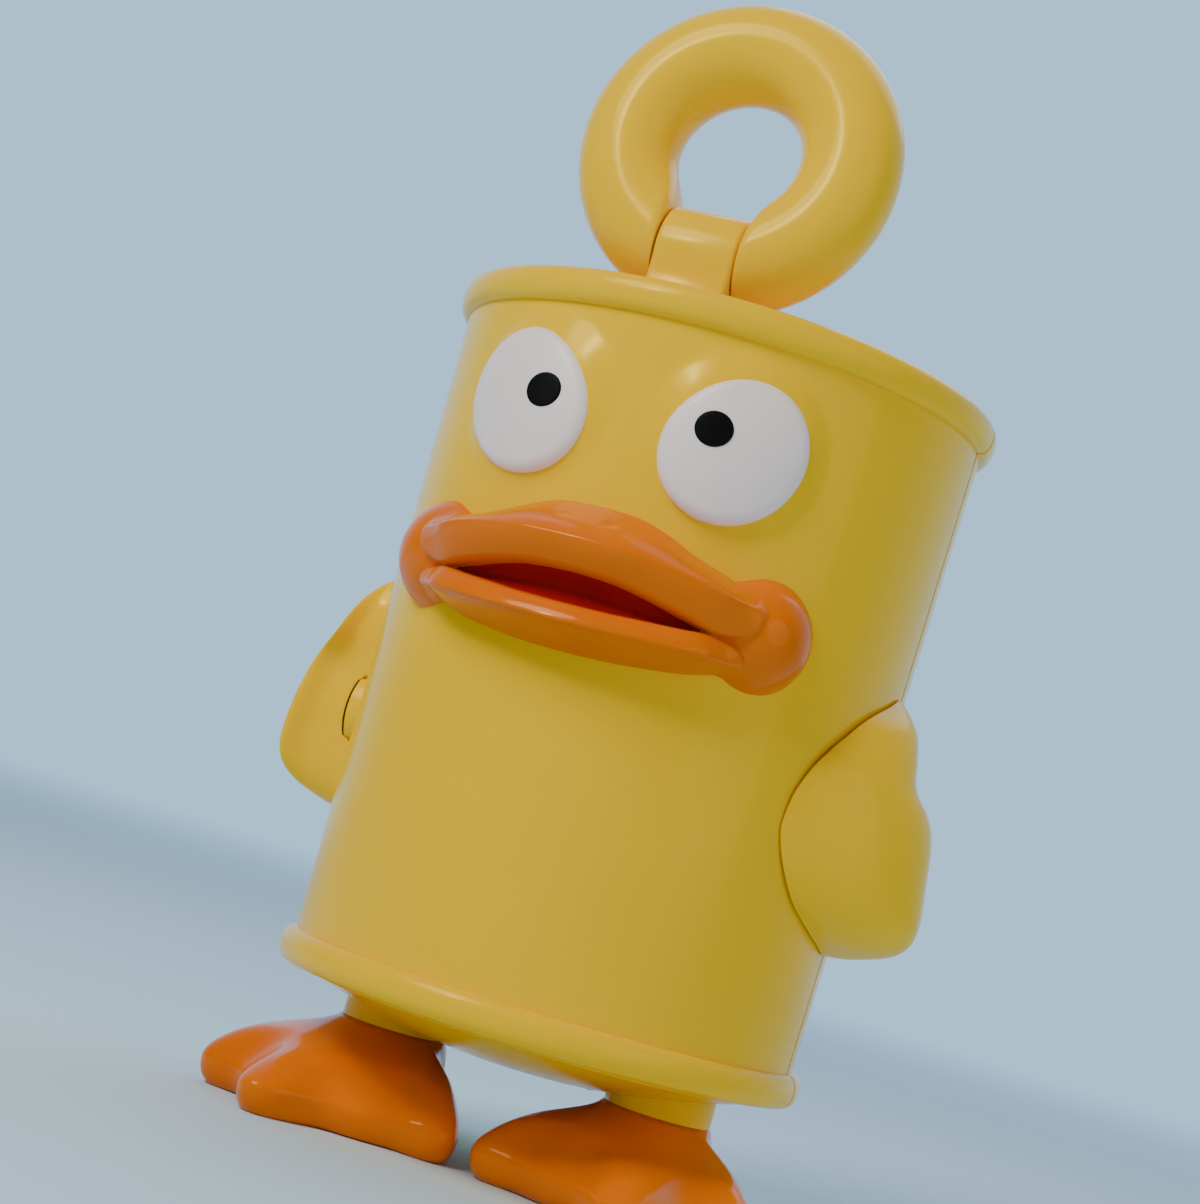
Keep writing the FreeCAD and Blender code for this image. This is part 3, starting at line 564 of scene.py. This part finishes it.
def makeMouth():
    # a trough that follows the lips just inside their edges, coloured dark red as painted shade for the
    # mouth's recess
    bm = bmesh.new()

    def surface(u, v):
        across = mix(-bill["mouthAcross"], bill["mouthAcross"], u)
        s = abs(across)
        low, high = lipAcross(("mouthLow", "mouthTop"), s)
        z = mix(low - bill["mouthLap"], high + bill["mouthLap"], v)
        upper = curveThrough(bill["upperProud"], s) * (1 - bill["upperFace"])
        lower = curveThrough(bill["lowerProud"], s) * (1 - bill["lowerFace"])
        edge = mix(lower, upper, v) - bill["mouthUnder"]
        depth = mix(bill["mouthFloor"], edge, abs(2 * v - 1) ** bill["mouthCurve"])
        corner = smoothStep(bill["cornerFrom"], bill["mouthAcross"], s)
        depth = mix(depth, edge - bill["cornerSink"], corner)
        return aroundCan(math.degrees(across / bill["bendRadius"]), wallRadius(z) + depth, z)

    gridSurface(bm, *bill["mouthCells"], surface)
    turnBack(bm, bill["skirt"])
    piece = finishMesh(bm, "mouthShadeLining", materials["mouth_red"])
    return finishPiece(piece, "can", ["mouth_liner"])


makeBill()
makeMouth()
print("bill made")


ring = {
    "major": 23.1, "tube": 10.25, "pinHeight": 186.4, "back": 37.0, "lean": 4.9, "halfGap": 8.75,
    "endRound": 1.0, "sections": 120, "sides": 72, "knuckle": 10.3, "knuckleSlope": 2.7, "knuckleSoft": 0.4,
}
bracket = {
    "half": 8.4, "cap": 10.0, "foot": 12.0, "neckIn": 0.6, "neckDown": 4, "flare": 2.6, "edgeRound": 1.1,
}


def makeRing():
    bm = bmesh.new()
    made = bmesh.ops.create_circle(bm, segments=ring["sides"], radius=ring["tube"] * mm, cap_ends=False)
    loop = made["verts"]
    for vert in loop:    # stand the circle across the top of the ring
        vert.co = Vector((0, vert.co.y, ring["major"] * mm + vert.co.x))
    edges = list({edge for vert in loop for edge in vert.link_edges})
    bmesh.ops.spin(bm, geom=loop + edges, cent=(0, 0, 0), axis=(0, 1, 0), angle=2 * math.pi,
                   steps=ring["sections"], use_merge=True, use_duplicate=False)
    bmesh.ops.remove_doubles(bm, verts=bm.verts, dist=1e-6)
    for side in (-1, 1):    # cut both ends square to the pin
        low = [face for face in bm.faces if face.calc_center_median().z < 0]
        parts = set(low) | {e for f in low for e in f.edges} | {v for f in low for v in f.verts}
        bmesh.ops.bisect_plane(bm, geom=list(parts), dist=1e-7, plane_co=(side * ring["halfGap"] * mm, 0, 0),
                               plane_no=(1, 0, 0))
    gap = [face for face in bm.faces if face.calc_center_median().z < 0
           and abs(face.calc_center_median().x) < ring["halfGap"] * mm]
    bmesh.ops.delete(bm, geom=gap, context="FACES")
    loose = [vert for vert in bm.verts if not vert.link_faces]
    bmesh.ops.delete(bm, geom=loose, context="VERTS")
    caps = bmesh.ops.holes_fill(bm, edges=[edge for edge in bm.edges if edge.is_boundary], sides=0)["faces"]
    rims = list({edge for face in caps for edge in face.edges})
    bmesh.ops.bevel(bm, geom=rims, offset=ring["endRound"] * mm, segments=5, profile=0.5, affect="EDGES",
                    material=-1, clamp_overlap=True)
    for vert in bm.verts:    # the inner corner of each end comes down to the bracket's top
        if vert.co.z < 0:
            up = vert.co.z / mm + ring["major"]
            far = math.hypot(vert.co.y / mm, up)
            room = ring["knuckle"] + ring["knuckleSlope"] * max(0.0, abs(vert.co.x) / mm - ring["halfGap"])
            share = softMin([far, room], ring["knuckleSoft"]) / far
            vert.co.y *= share
            vert.co.z = (up * share - ring["major"]) * mm
    bmesh.ops.translate(bm, verts=bm.verts, vec=place(0, 0, ring["major"]))
    lean = Matrix.Rotation(math.radians(-ring["lean"]), 3, "X")
    bmesh.ops.rotate(bm, verts=bm.verts, cent=(0, 0, 0), matrix=lean)
    bmesh.ops.translate(bm, verts=bm.verts, vec=place(0, -ring["back"], ring["pinHeight"]))
    piece = finishMesh(bm, "carryRing", materials["yellow_shell"], sharp=50)
    return finishPiece(piece, "ring", ["carry_ring"])


def makeBracket():
    # block with a rounded top, flared where it meets the lid
    bm = bmesh.new()
    half, cap = bracket["half"], bracket["cap"]
    outline = []
    for i in range(33):
        turn = math.radians(-4 + i * 188 / 32)
        outline.append((-cap * math.cos(turn), ring["pinHeight"] + cap * math.sin(turn)))
    neck = ring["pinHeight"] - bracket["neckDown"]
    side = []
    for i in range(9):
        share = i / 8
        out = mix(cap - bracket["neckIn"], bracket["foot"], share ** bracket["flare"])
        side.append((out, mix(neck, can["lidTop"], share)))
    outline += side + [(-y, z) for y, z in reversed(side)]
    face = bm.faces.new([bm.verts.new(place(-half, -ring["back"] - y, z)) for y, z in outline])
    made = bmesh.ops.extrude_face_region(bm, geom=[face])
    moved = [item for item in made["geom"] if isinstance(item, bmesh.types.BMVert)]
    bmesh.ops.translate(bm, verts=moved, vec=place(2 * half, 0, 0))
    rims = [edge for edge in bm.edges if edge.is_manifold and any(len(f.verts) > 8 for f in edge.link_faces)]
    bmesh.ops.bevel(bm, geom=rims, offset=bracket["edgeRound"] * mm, segments=4, profile=0.5,
                    affect="EDGES", material=-1)
    piece = finishMesh(bm, "ringBracket", materials["yellow_shell"], sharp=40)
    return finishPiece(piece, "can", ["ring_bracket"])


makeRing()
makeBracket()
print("ring made")


wing = {
    "low": 60.8, "high": 114.9, "rows": 96, "sides": 120, "gap": 0.25, "squareLow": 8, "squareHigh": 5,
    "pivotHeight": 82.8, "swing": 5.5, "rightFront": 83.5,
    # height, front edge's angle, reach out, how far forward the crown is, how far back the tail is
    "sections": [(60.8, 80.0, 66.0, 0.0, 6.0), (64.5, 71.5, 70.6, -3.0, 14.0),
                 (70.0, 63.0, 71.9, -6.5, 16.0), (80.0, 56.0, 71.0, -8.5, 13.0),
                 (88.0, 55.4, 69.8, -8.0, 14.5), (93.0, 57.0, 68.0, -8.5, 13.0),
                 (97.5, 59.6, 64.9, -11.0, 5.0), (103.0, 64.5, 63.6, -9.5, 8.0),
                 (109.0, 70.5, 62.4, -6.0, 10.0), (114.9, 80.0, 59.6, -2.5, 5.0)],
}


def wingClear(y, z):
    # how far out the inner face is, so that the can stays clear while the wing swings
    up = z - wing["pivotHeight"]
    far, turn, swing = math.hypot(y, up), math.atan2(up, y), math.radians(wing["swing"])
    nearest = min(abs(far * math.cos(turn + swing * share)) for share in (-1, -0.5, 0, 0.5, 1))
    return math.sqrt((wallRadius(z) + wing["gap"]) ** 2 - nearest * nearest)


def wingValue(z, column):
    return curveThrough([(row[0], row[column]) for row in wing["sections"]], z)


def wingRing(side, z):
    # the wing's closed outline at a height, as control points; the right wing is set further back
    front = wingValue(z, 1) if side > 0 else wing["rightFront"]
    reach = wingValue(z, 2)
    crown = wingValue(z, 3)
    tail = wingValue(z, 4)
    skin = wallRadius(z) + wing["gap"]
    turn = math.radians(front)
    edge = Vector((wingClear(-skin * math.cos(turn), z), -skin * math.cos(turn)))
    top = Vector((reach, crown))
    mid = edge.lerp(top, 0.5) + Vector((0.13 * (top.x - edge.x), -0.12 * (top.y - edge.y)))
    back = Vector((reach - 3.2, tail * 0.62 + crown * 0.2))
    tip = Vector((reach - 8.0, tail))
    root = Vector((skin + 0.3, tail * 0.55))
    seat = Vector((skin - 0.3, 0.0))
    inner = math.radians(mix(front, 90, 0.25))
    hollow = Vector((skin * math.sin(inner) - 0.3, -skin * math.cos(inner)))
    return [edge, mid, top, back, tip, root, seat, hollow]


def closedCurve(points, share):
    # smooth closed curve through the points
    count = len(points)
    i = int(share * count) % count
    t = share * count - int(share * count)
    a, b, c, d = (points[(i + k) % count] for k in (-1, 0, 1, 2))
    bend = 2 * a - 5 * b + 4 * c - d
    twist = 3 * b - a - 3 * c + d
    return 0.5 * ((2 * b) + (c - a) * t + bend * t * t + twist * t**3)


def wingPoint(side, u, v):
    # u runs round the wing, v from its low end to its high end
    swing = math.cos(math.pi * v)
    z = mix(wing["high"], wing["low"], (swing + 1) / 2)
    points = wingRing(side, z)
    middle = sum(points, Vector((0, 0))) / len(points)
    middle.x = wingClear(middle.y, z) - 1.0
    spot = closedCurve(points, u)
    square = wing["squareLow"] if swing > 0 else wing["squareHigh"]
    close = math.sqrt(max(0.0, 1 - abs(swing) ** square))
    spot = middle.lerp(spot, close)
    return place(side * spot.x, spot.y, z)


boss = {"radius": 9.0, "apex": 60.4, "sphere": 18.0, "gap": 0.4, "root": 52.0, "rings": 12}


def bossReach(around):
    # how far out the shoulder boss stands at a distance from its axis
    return boss["apex"] - boss["sphere"] + math.sqrt(boss["sphere"] ** 2 - around ** 2)


def makeBoss(name, side):
    # round shoulder on the can that the wing's axle turns in
    bm = bmesh.new()
    radii = [boss["radius"] * (1 - (i / boss["rings"]) ** 2) for i in range(boss["rings"] + 1)]
    line = [(0, boss["root"]), (boss["radius"], boss["root"])] + [(r, bossReach(r)) for r in radii]
    spinProfile(bm, line, 64)
    turn = Matrix.Rotation(math.radians(90 * side), 3, "Y")
    bmesh.ops.rotate(bm, verts=bm.verts, cent=(0, 0, 0), matrix=turn)
    bmesh.ops.translate(bm, verts=bm.verts, vec=place(0, 0, wing["pivotHeight"]))
    piece = finishMesh(bm, name, materials["yellow_shell"], sharp=40)
    return finishPiece(piece, "can", [])


def makeWing(name, side, nodes, body):
    bm = bmesh.new()
    gridSurface(bm, wing["sides"], wing["rows"], lambda u, v: wingPoint(side, u, v))
    bmesh.ops.remove_doubles(bm, verts=bm.verts, dist=5e-6)
    bmesh.ops.smooth_vert(bm, verts=bm.verts, factor=0.5, use_axis_x=True, use_axis_y=True, use_axis_z=True)
    for vert in bm.verts:
        nearest = wingClear(vert.co.y / mm, vert.co.z / mm)
        around = math.hypot(vert.co.y / mm, vert.co.z / mm - wing["pivotHeight"])
        if around < boss["radius"] + boss["gap"] and side * vert.co.x < boss["apex"] * mm:
            nearest = max(nearest, bossReach(around) + boss["gap"])
        vert.co.x = side * max(side * vert.co.x, nearest * mm)
    piece = finishMesh(bm, name, materials["yellow_shell"])
    return finishPiece(piece, body, nodes)


makeBoss("shoulderLeft", 1)
makeBoss("shoulderRight", -1)
makeWing("wingLeft", 1, ["wing_left"], "left_wing")
makeWing("wingRight", -1, ["wing_right"], "right_wing")
print("wings made")


feet = {
    "legRadius": 11.2, "legAcross": 30.0, "ankle": 20.6, "heel": 13.6,
    "toeAngles": (51.0, 12.0, -45.0), "toeReaches": (37.8, 45.0, 38.0), "toeSpread": (19.0, 20.0, 20.0),
    "toeBlend": 6, "plump": 0.75, "web": 34.0, "webMiddle": 3.0, "webSpread": 66.0,
    "edgeRound": 5.2, "nose": 11.0, "under": 3.6, "slope": 0.30, "ankleDrop": 1.4, "ankleRun": 2.5,
    "dip": 3.6, "dipFrom": 24.0, "dipTo": 35.0, "dipSide": 85, "bore": 3.2, "collar": 5,
    "topTo": 0.62, "edgeTo": 0.8, "topCurve": 1.9, "cells": (144, 60),
}


def footReach(angle):
    # the sole's outline round the leg: three toes and the web between them
    lobes = [(reach - feet["heel"]) * math.exp(-((angle - toe) / spread) ** 2)
             for toe, reach, spread in zip(feet["toeAngles"], feet["toeReaches"], feet["toeSpread"])]
    aside = (angle - feet["webMiddle"]) / feet["webSpread"]
    lobes.append((feet["web"] - feet["heel"]) * math.exp(-aside ** 6))
    power = feet["toeBlend"]
    return feet["heel"] + sum(lobe ** power for lobe in lobes) ** (1 / power)


def toeRise(angle):
    # the toes are plump along their middles and the web dips between them
    rise = 0.0
    for toe, spread in zip(feet["toeAngles"], feet["toeSpread"]):
        rise = max(rise, math.exp(-((angle - toe) / (spread * feet["plump"])) ** 2))
    return rise


def makeFoot(name, side, node):
    bm = bmesh.new()

    def spot(turn, far, height):
        return place(side * (feet["legAcross"] + far * math.sin(turn)), -far * math.cos(turn), height)

    def surface(u, v):
        angle = u * 360 - 180
        turn = math.radians(angle)
        reach = footReach(angle)
        start = feet["legRadius"]
        if v < feet["topTo"]:      # top, from the ankle to the edge
            far = mix(start, reach, 1 - (1 - v / feet["topTo"]) ** feet["topCurve"])
            out = far - start
            height = feet["ankle"] - feet["slope"] * out
            height -= feet["ankleDrop"] * (1 - math.exp(-out / feet["ankleRun"]))
            if abs(angle) < feet["dipSide"]:
                height -= feet["dip"] * (1 - toeRise(angle)) * smoothStep(feet["dipFrom"], feet["dipTo"], far)
            near = min(1.0, (reach - far) / min(feet["nose"], reach - start))
            return spot(turn, far, mix(feet["edgeRound"], height, math.sqrt(1 - (1 - near) ** 2)))
        if v < feet["edgeTo"]:     # rounded edge under
            under = (v - feet["topTo"]) / (feet["edgeTo"] - feet["topTo"]) * math.pi / 2
            far = reach - feet["under"] * (1 - math.cos(under))
            return spot(turn, far, feet["edgeRound"] * (1 - math.sin(under)))
        share = (v - feet["edgeTo"]) / (1 - feet["edgeTo"])
        return spot(turn, mix(reach - feet["under"], feet["bore"], share), 0.0)

    gridSurface(bm, *feet["cells"], surface)
    bmesh.ops.remove_doubles(bm, verts=bm.verts, dist=2e-6)
    for i in range(2):
        top = [vert for vert in bm.verts if 0.3 * mm < vert.co.z < (feet["ankle"] - 0.2) * mm]
        bmesh.ops.smooth_vert(bm, verts=top, factor=0.5, use_axis_x=True, use_axis_y=True, use_axis_z=True)
    made = bmesh.ops.extrude_edge_only(bm, edges=[edge for edge in bm.edges if edge.is_boundary])
    for item in made["geom"]:    # the ankle's and the screw hole's rims turn into the foot
        if isinstance(item, bmesh.types.BMVert):
            item.co.z += (-feet["collar"] if item.co.z > 0.01 else feet["collar"]) * mm
    piece = finishMesh(bm, name, materials["orange_vinyl"])
    return finishPiece(piece, "base", [node])


makeFoot("footLeft", 1, "foot_left")
makeFoot("footRight", -1, "foot_right")
print("feet made")


stage = {
    "floorSize": 12.0, "paper": (0.60, 0.79, 0.95), "grainScale": 60,
    "keyPower": 8.2, "sparkPower": 1.1, "fillPower": 2.4, "topPower": 2.0,
    "skyFront": (0.12, 0.105, 0.09), "skyBack": (0.50, 0.84, 1.14), "farFloor": (0.4, 1.8),
}


def makeStage():
    bm = bmesh.new()
    bmesh.ops.create_grid(bm, x_segments=8, y_segments=8, size=stage["floorSize"] / 2)
    material, nodes, links, shader = newMaterial("floorPaper")
    spot = nodes.new("ShaderNodeTexCoord").outputs["Object"]
    grain = addNoise(nodes, links, spot, stage["grainScale"], 2)
    tint = nodes.new("ShaderNodeMix")
    tint.data_type = "RGBA"
    tint.inputs["A"].default_value = (*[0.97 * c for c in stage["paper"]], 1)
    tint.inputs["B"].default_value = (*stage["paper"], 1)
    links.new(grain, tint.inputs["Factor"])
    links.new(tint.outputs["Result"], shader.inputs["Base Color"])
    shader.inputs["Roughness"].default_value = 0.8
    split = nodes.new("ShaderNodeSeparateXYZ")
    links.new(spot, split.inputs["Vector"])
    far = nodes.new("ShaderNodeMapRange")
    far.interpolation_type = "SMOOTHSTEP"
    far.inputs["From Min"].default_value, far.inputs["From Max"].default_value = stage["farFloor"]
    links.new(split.outputs["Y"], far.inputs["Value"])
    sweep = nodes.new("ShaderNodeEmission")    # the floor's far part turns into the backdrop
    sweep.inputs["Color"].default_value = (*stage["skyBack"], 1)
    blend = nodes.new("ShaderNodeMixShader")
    links.new(far.outputs["Result"], blend.inputs["Fac"])
    links.new(shader.outputs["BSDF"], blend.inputs[1])
    links.new(sweep.outputs["Emission"], blend.inputs[2])
    links.new(blend.outputs["Shader"], nodes["Material Output"].inputs["Surface"])
    floor = finishMesh(bm, "floor", material)


def addLight(name, spot, aim, size, power, colour):
    light = bpy.data.lights.new(name, "AREA")
    light.shape = "DISK"
    light.size = size
    light.energy = power
    light.color = colour
    lamp = bpy.data.objects.new(name, light)
    lamp.location = spot
    lamp.rotation_euler = (Vector(aim) - Vector(spot)).to_track_quat("-Z", "Y").to_euler()
    bpy.context.scene.collection.objects.link(lamp)


def makeCamera():
    # camera a little below the can's middle and to its left, rolled so that the can tips to the right
    unit = 0.055
    azimuth, distance, height = math.radians(16.65), 8.9796, 0.5289
    yaw, pitch, roll = -0.0251, 0.1082, 0.2902
    centre = Vector((math.sin(azimuth) * distance, -math.cos(azimuth) * distance, height)) * unit
    centre.z += 0.036
    forward = Vector((-math.sin(azimuth), math.cos(azimuth), 0))
    right = Vector((math.cos(azimuth), math.sin(azimuth), 0))
    forward2 = forward * math.cos(yaw) + right * math.sin(yaw)
    right2 = right * math.cos(yaw) - forward * math.sin(yaw)
    forward3 = forward2 * math.cos(pitch) + Vector((0, 0, 1)) * math.sin(pitch)
    up3 = Vector((0, 0, 1)) * math.cos(pitch) - forward2 * math.sin(pitch)
    rightEnd = right2 * math.cos(roll) + up3 * math.sin(roll)
    upEnd = up3 * math.cos(roll) - right2 * math.sin(roll)
    lens = bpy.data.cameras.new("camera")
    lens.sensor_width = 36.0
    lens.lens = 69.93
    lens.clip_start = 0.01
    eye = bpy.data.objects.new("camera", lens)
    turn = Matrix((rightEnd, upEnd, -forward3)).transposed().to_4x4()
    eye.matrix_world = Matrix.Translation(centre) @ turn
    bpy.context.scene.collection.objects.link(eye)
    bpy.context.scene.camera = eye


makeStage()
addLight("key", (-0.45, -0.75, 0.85), (0, 0, 0.11), 0.55, stage["keyPower"], (1.0, 0.97, 0.93))
addLight("spark", (-0.30, -0.70, 0.60), (0, 0, 0.13), 0.10, stage["sparkPower"], (1.0, 0.98, 0.95))
addLight("fill", (0.9, -0.5, 0.35), (0, 0, 0.11), 0.8, stage["fillPower"], (1.0, 0.90, 0.78))
addLight("top", (0.1, 0.5, 0.9), (0, 0, 0.11), 0.8, stage["topPower"], (1.0, 1.0, 1.0))


def makeWorld():
    # a studio that is bright behind the duck and dim in front of it
    world = bpy.data.worlds.new("softStudio")
    world.use_nodes = True
    nodes, links = world.node_tree.nodes, world.node_tree.links
    spot = nodes.new("ShaderNodeTexCoord")
    split = nodes.new("ShaderNodeSeparateXYZ")
    links.new(spot.outputs["Generated"], split.inputs["Vector"])
    ramp = nodes.new("ShaderNodeMapRange")
    ramp.interpolation_type = "SMOOTHSTEP"
    ramp.inputs["From Min"].default_value = -0.2
    ramp.inputs["From Max"].default_value = 0.75
    links.new(split.outputs["Y"], ramp.inputs["Value"])
    tint = nodes.new("ShaderNodeMix")
    tint.data_type = "RGBA"
    tint.inputs["A"].default_value = (*stage["skyFront"], 1)
    tint.inputs["B"].default_value = (*stage["skyBack"], 1)
    links.new(ramp.outputs["Result"], tint.inputs["Factor"])
    links.new(tint.outputs["Result"], nodes["Background"].inputs["Color"])
    bpy.context.scene.world = world


makeWorld()
makeCamera()
print("stage made")
